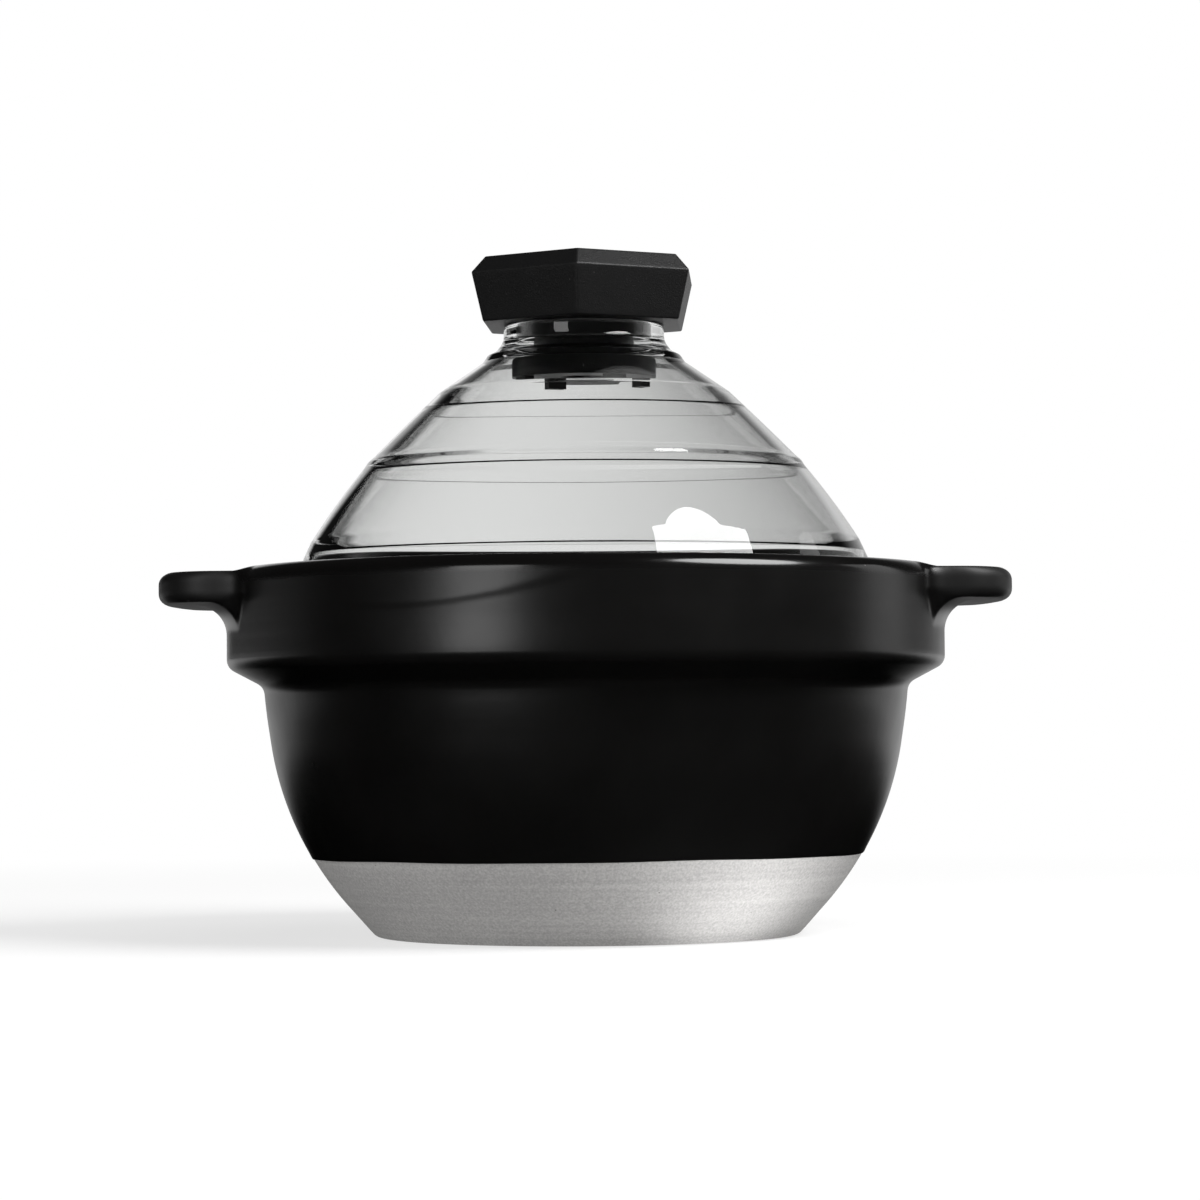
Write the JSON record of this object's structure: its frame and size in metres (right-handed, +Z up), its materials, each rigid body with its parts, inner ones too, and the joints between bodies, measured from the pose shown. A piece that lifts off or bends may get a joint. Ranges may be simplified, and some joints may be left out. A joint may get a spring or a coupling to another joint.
{
  "type": "clay rice pot with a glass lid",
  "caption": "Round black-glazed clay cooking pot with ear handles, a stepped cone glass lid that lifts off and a faceted steam knob on the lid's neck.",
  "frame": {"origin": "middle of the flat foot, on the surface that the pot stands on", "axes": "+X through the right-hand ear as the picture shows it, -Y towards the camera, +Z up through the lid's knob"},
  "size_m": [0.254, 0.214, 0.2015],
  "materials": {
    "black_glaze": "satin",
    "clear_glass": "gloss",
    "black_silicone": "matte",
    "whistle_steel": "brushed"
  },
  "bodies": {
    "pot": {"pot_body": "black_glaze", "left_handle": "black_glaze", "right_handle": "black_glaze"},
    "lid": {"lid_glass": "clear_glass"},
    "plug": {"vent_plug": "black_silicone", "whistle_cup": "whistle_steel", "whistle_cover": "whistle_steel"},
    "cap": {"knob_cap": "black_silicone"}
  },
  "joints": [
    {"name": "lid_lift", "type": "slide", "parent": "pot", "child": "lid", "axis": [0, 0, 1], "range_m": [0, 0.15]},
    {"name": "knob_turn", "type": "hinge", "parent": "lid", "child": "plug", "pos_m": [0, 0, 0.178], "axis": [0, 0, 1], "continuous": true},
    {"name": "cap_pull", "type": "slide", "parent": "plug", "child": "cap", "axis": [0, 0, 1], "range_m": [0, 0.02]}
  ]
}
